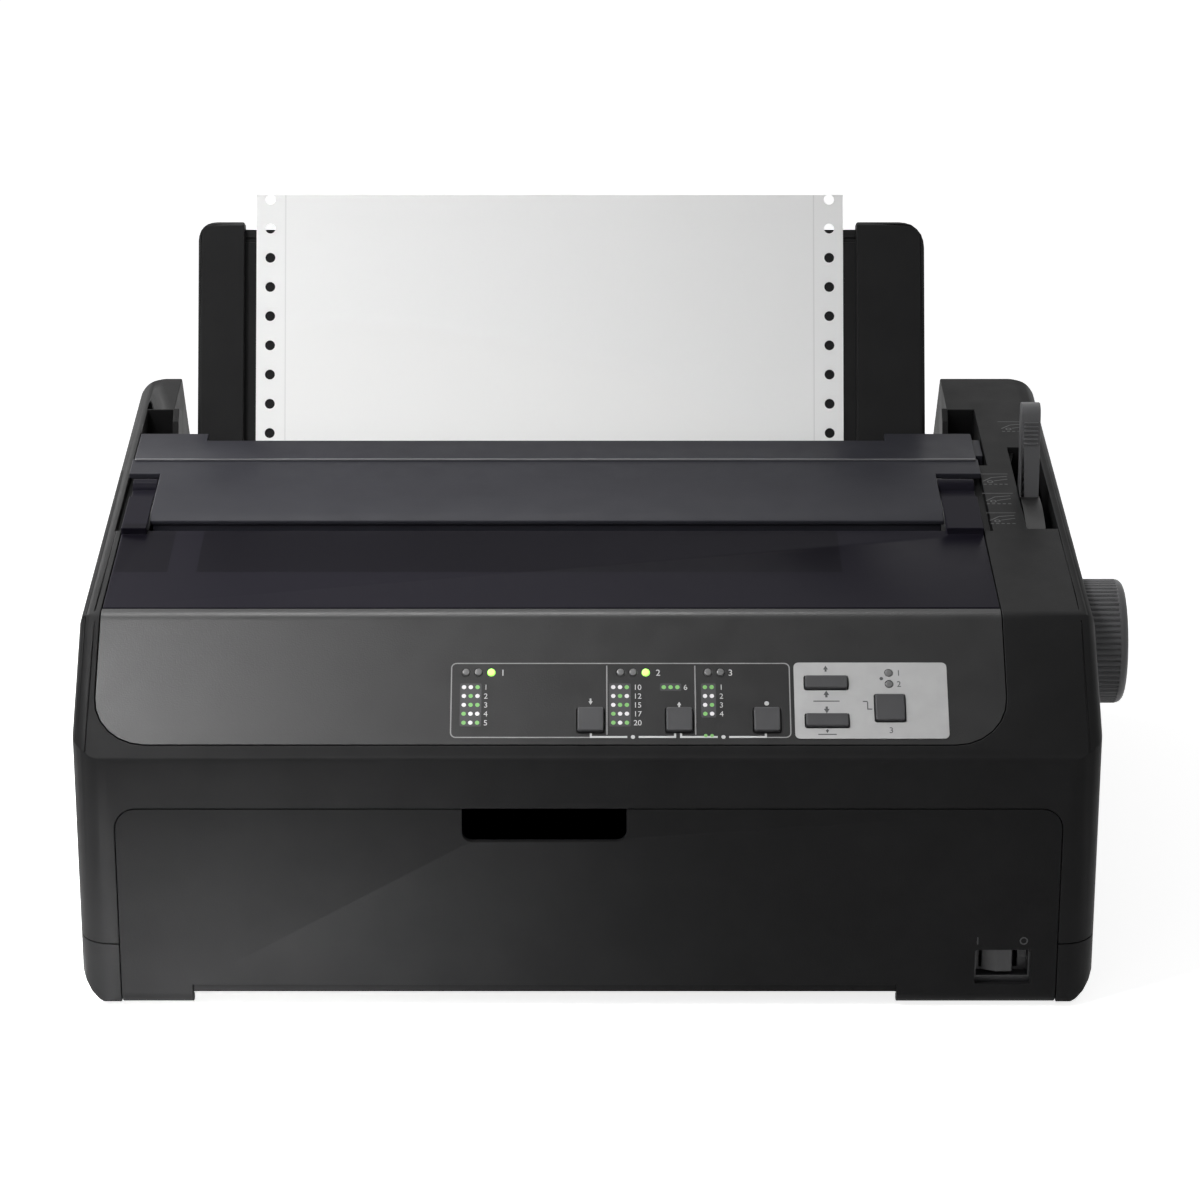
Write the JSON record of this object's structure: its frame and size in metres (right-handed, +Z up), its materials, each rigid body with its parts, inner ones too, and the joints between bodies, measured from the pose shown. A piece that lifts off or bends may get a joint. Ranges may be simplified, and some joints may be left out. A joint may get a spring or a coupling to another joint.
{
  "type": "dot matrix printer",
  "caption": "Desktop dot matrix printer with hinged window, rear and front covers, sloped button panel, feed knob, release lever, tractors and fanfold paper.",
  "frame": {"origin": "on the table under the middle of the whole printer, knob included: the centre of the bottom of its box", "axes": "+X along the width, to the right as the user sees it, +Y from the front to the back, +Z up"},
  "size_m": [0.4112, 0.35, 0.2564],
  "materials": {
    "case_plastic": "fine-textured black plastic",
    "cover_plastic": "fine-textured dark grey plastic",
    "guide_plastic": "fine-textured black plastic",
    "smoked_plastic": "smoked translucent plastic with a satin face",
    "label_grey": "pale grey printed foil",
    "button_plastic": "dark grey plastic",
    "lamp_green": "clear lens",
    "grey_plastic": "mid grey plastic",
    "black_plastic": "black plastic",
    "pale_plastic": "natural acetal",
    "rubber": "ground black rubber",
    "sheet_steel": "zinc-plated sheet steel",
    "shaft_steel": "ground steel",
    "motor_metal": "plated steel can",
    "screw_steel": "zinc-plated steel",
    "board_green": "glass-fibre circuit board with soldered parts",
    "paper_white": "uncoated white paper",
    "brass": "turned brass"
  },
  "bodies": {
    "casing": {"lower_case": "case_plastic", "upper_case": "case_plastic", "control_panel": "guide_plastic", "panel_label": "label_grey", "panel_lamps": "lamp_green", "panel_board": "board_green", "power_switch_housing": "black_plastic", "rubber_feet": "rubber", "case_screws": "screw_steel", "paper": "paper_white", "feed_motor": "motor_metal", "left_frame": "sheet_steel", "right_frame": "sheet_steel", "base_plate": "sheet_steel", "platen_bushings": "pale_plastic", "carriage_rail": "shaft_steel", "guide_rail": "sheet_steel", "carriage_motor": "motor_metal", "timing_belt": "rubber", "ribbon_cartridge": "black_plastic", "tractor_brackets": "black_plastic", "support_shaft": "shaft_steel", "main_board": "board_green", "power_supply": "board_green"},
    "rear_cover": {"rear_cover": "cover_plastic"},
    "window_cover": {"window_cover": "smoked_plastic"},
    "front_cover": {"front_cover": "guide_plastic"},
    "sheet_guide": {"sheet_guide": "guide_plastic"},
    "left_edge_guide": {"left_edge_guide": "guide_plastic"},
    "right_edge_guide": {"right_edge_guide": "guide_plastic"},
    "release_lever": {"release_lever": "grey_plastic"},
    "platen": {"platen_shaft": "shaft_steel", "platen_roller": "rubber", "platen_gears": "pale_plastic"},
    "knob": {"feed_knob": "grey_plastic", "knob_shaft": "pale_plastic"},
    "idler_gear": {"idler_gear": "pale_plastic"},
    "motor_pinion": {"motor_pinion": "brass"},
    "tractor_drive": {"drive_shaft": "shaft_steel", "tractor_gear": "pale_plastic"},
    "pressure_shaft": {"pressure_shaft": "shaft_steel"},
    "pressure_rollers": {"pressure_rollers": "rubber"},
    "carriage": {"carriage": "black_plastic", "print_head": "motor_metal"},
    "drive_pulley": {"drive_pulley": "pale_plastic"},
    "idler_pulley": {"idler_pulley": "pale_plastic"},
    "item_up_button": {"item_up_button": "button_plastic"},
    "item_down_button": {"item_down_button": "button_plastic"},
    "set_button": {"set_button": "button_plastic"},
    "load_button": {"load_button": "button_plastic"},
    "feed_button": {"feed_button": "button_plastic"},
    "pause_button": {"pause_button": "button_plastic"},
    "power_rocker": {"power_rocker": "black_plastic"},
    "ribbon_knob": {"ribbon_knob": "black_plastic"},
    "left_tractor": {"left_tractor": "black_plastic"},
    "right_tractor": {"right_tractor": "black_plastic"},
    "left_tractor_lid": {"left_tractor_lid": "black_plastic"},
    "right_tractor_lid": {"right_tractor_lid": "black_plastic"},
    "left_tractor_wheel": {"left_tractor_wheel": "pale_plastic"},
    "right_tractor_wheel": {"right_tractor_wheel": "pale_plastic"}
  },
  "joints": [
    {"name": "rear_cover_hinge", "type": "hinge", "parent": "casing", "child": "rear_cover", "pos_m": [-0.0086, 0.041, 0.1532], "axis": [-1, 0, 0], "range_deg": [0, 60]},
    {"name": "window_cover_hinge", "type": "hinge", "parent": "rear_cover", "child": "window_cover", "pos_m": [-0.0086, -0.007, 0.1568], "axis": [-1, 0, 0], "range_deg": [0, 75]},
    {"name": "front_cover_hinge", "type": "hinge", "parent": "casing", "child": "front_cover", "pos_m": [-0.0086, -0.169, 0.007], "axis": [1, 0, 0], "range_deg": [0, 90]},
    {"name": "sheet_guide_tilt", "type": "hinge", "parent": "casing", "child": "sheet_guide", "pos_m": [-0.0086, 0.05964, 0.14507], "axis": [-1, 0, 0], "range_deg": [0, 45]},
    {"name": "left_edge_guide_slide", "type": "slide", "parent": "sheet_guide", "child": "left_edge_guide", "axis": [1, 0, 0], "range_m": [-0.007, 0.004]},
    {"name": "right_edge_guide_slide", "type": "slide", "parent": "sheet_guide", "child": "right_edge_guide", "axis": [1, 0, 0], "range_m": [-0.004, 0.006]},
    {"name": "release_lever_turn", "type": "hinge", "parent": "casing", "child": "release_lever", "pos_m": [0.17405, -0.017, 0.0972], "axis": [-1, 0, 0], "range_deg": [-27, 26]},
    {"name": "platen_turn", "type": "hinge", "parent": "casing", "child": "platen", "pos_m": [-0.0086, -0.04682, 0.09397], "axis": [1, 0, 0], "continuous": true},
    {"name": "knob_turn", "type": "hinge", "parent": "casing", "child": "knob", "pos_m": [-0.0086, -0.08, 0.1172], "axis": [1, 0, 0], "continuous": true},
    {"name": "idler_gear_turn", "type": "hinge", "parent": "casing", "child": "idler_gear", "pos_m": [-0.0086, -0.00197, 0.06969], "axis": [1, 0, 0], "continuous": true},
    {"name": "motor_pinion_turn", "type": "hinge", "parent": "casing", "child": "motor_pinion", "pos_m": [-0.0086, -0.05914, 0.06014], "axis": [1, 0, 0], "continuous": true},
    {"name": "tractor_drive_turn", "type": "hinge", "parent": "casing", "child": "tractor_drive", "pos_m": [-0.0086, 0.04, 0.0682], "axis": [1, 0, 0], "continuous": true},
    {"name": "pressure_shaft_drop", "type": "slide", "parent": "casing", "child": "pressure_shaft", "axis": [0, 0, -1], "range_m": [0, 0.002], "stiffness_N_per_m": 1500, "springref_m": -0.002},
    {"name": "pressure_rollers_turn", "type": "hinge", "parent": "pressure_shaft", "child": "pressure_rollers", "pos_m": [-0.0086, -0.04682, 0.07207], "axis": [1, 0, 0], "continuous": true},
    {"name": "carriage_travel", "type": "slide", "parent": "casing", "child": "carriage", "axis": [1, 0, 0], "range_m": [-0.028, 0.208]},
    {"name": "drive_pulley_turn", "type": "hinge", "parent": "casing", "child": "drive_pulley", "pos_m": [-0.1546, -0.105, 0.0522], "axis": [0, 0, 1], "continuous": true},
    {"name": "idler_pulley_turn", "type": "hinge", "parent": "casing", "child": "idler_pulley", "pos_m": [0.1149, -0.105, 0.0522], "axis": [0, 0, 1], "continuous": true},
    {"name": "item_up_button_press", "type": "slide", "parent": "casing", "child": "item_up_button", "axis": [0, 0.6769, -0.7361], "range_m": [0, 0.001], "stiffness_N_per_m": 300, "springref_m": -0.001},
    {"name": "item_down_button_press", "type": "slide", "parent": "casing", "child": "item_down_button", "axis": [0, 0.6769, -0.7361], "range_m": [0, 0.001], "stiffness_N_per_m": 300, "springref_m": -0.001},
    {"name": "set_button_press", "type": "slide", "parent": "casing", "child": "set_button", "axis": [0, 0.6769, -0.7361], "range_m": [0, 0.001], "stiffness_N_per_m": 300, "springref_m": -0.001},
    {"name": "load_button_press", "type": "slide", "parent": "casing", "child": "load_button", "axis": [0, 0.6769, -0.7361], "range_m": [0, 0.001], "stiffness_N_per_m": 300, "springref_m": -0.001},
    {"name": "feed_button_press", "type": "slide", "parent": "casing", "child": "feed_button", "axis": [0, 0.6769, -0.7361], "range_m": [0, 0.001], "stiffness_N_per_m": 300, "springref_m": -0.001},
    {"name": "pause_button_press", "type": "slide", "parent": "casing", "child": "pause_button", "axis": [0, 0.6769, -0.7361], "range_m": [0, 0.001], "stiffness_N_per_m": 300, "springref_m": -0.001},
    {"name": "power_rocker_tilt", "type": "hinge", "parent": "casing", "child": "power_rocker", "pos_m": [0.1511, -0.165, 0.014], "axis": [0, 0, 1], "range_deg": [0, 20]},
    {"name": "ribbon_knob_turn", "type": "hinge", "parent": "casing", "child": "ribbon_knob", "pos_m": [0.0734, -0.1075, 0.1062], "axis": [0, 0, 1], "continuous": true},
    {"name": "left_tractor_slide", "type": "slide", "parent": "casing", "child": "left_tractor", "axis": [1, 0, 0], "range_m": [-0.02, 0.03]},
    {"name": "right_tractor_slide", "type": "slide", "parent": "casing", "child": "right_tractor", "axis": [1, 0, 0], "range_m": [-0.06, 0.025]},
    {"name": "left_tractor_lid_hinge", "type": "hinge", "parent": "left_tractor", "child": "left_tractor_lid", "pos_m": [-0.1522, 0.04, 0.08066], "axis": [0, -1, 0], "range_deg": [0, 90]},
    {"name": "right_tractor_lid_hinge", "type": "hinge", "parent": "right_tractor", "child": "right_tractor_lid", "pos_m": [0.1024, 0.04, 0.08066], "axis": [0, 1, 0], "range_deg": [0, 90]},
    {"name": "left_tractor_wheel_turn", "type": "hinge", "parent": "left_tractor", "child": "left_tractor_wheel", "pos_m": [-0.1459, 0.04, 0.0682], "axis": [1, 0, 0], "continuous": true},
    {"name": "right_tractor_wheel_turn", "type": "hinge", "parent": "right_tractor", "child": "right_tractor_wheel", "pos_m": [0.0961, 0.04, 0.0682], "axis": [1, 0, 0], "continuous": true}
  ],
  "couplings": [
    {"joint": "knob_turn", "follows": "platen_turn", "ratio": -2},
    {"joint": "idler_gear_turn", "follows": "platen_turn", "ratio": -1.125},
    {"joint": "motor_pinion_turn", "follows": "platen_turn", "ratio": -3},
    {"joint": "tractor_drive_turn", "follows": "platen_turn", "ratio": 1.5},
    {"joint": "left_tractor_wheel_turn", "follows": "platen_turn", "ratio": 1.5},
    {"joint": "right_tractor_wheel_turn", "follows": "platen_turn", "ratio": 1.5},
    {"joint": "pressure_rollers_turn", "follows": "platen_turn", "ratio": -2.5},
    {"joint": "drive_pulley_turn", "follows": "carriage_travel", "rad_per_m": -110.5},
    {"joint": "idler_pulley_turn", "follows": "carriage_travel", "rad_per_m": -110.5}
  ]
}
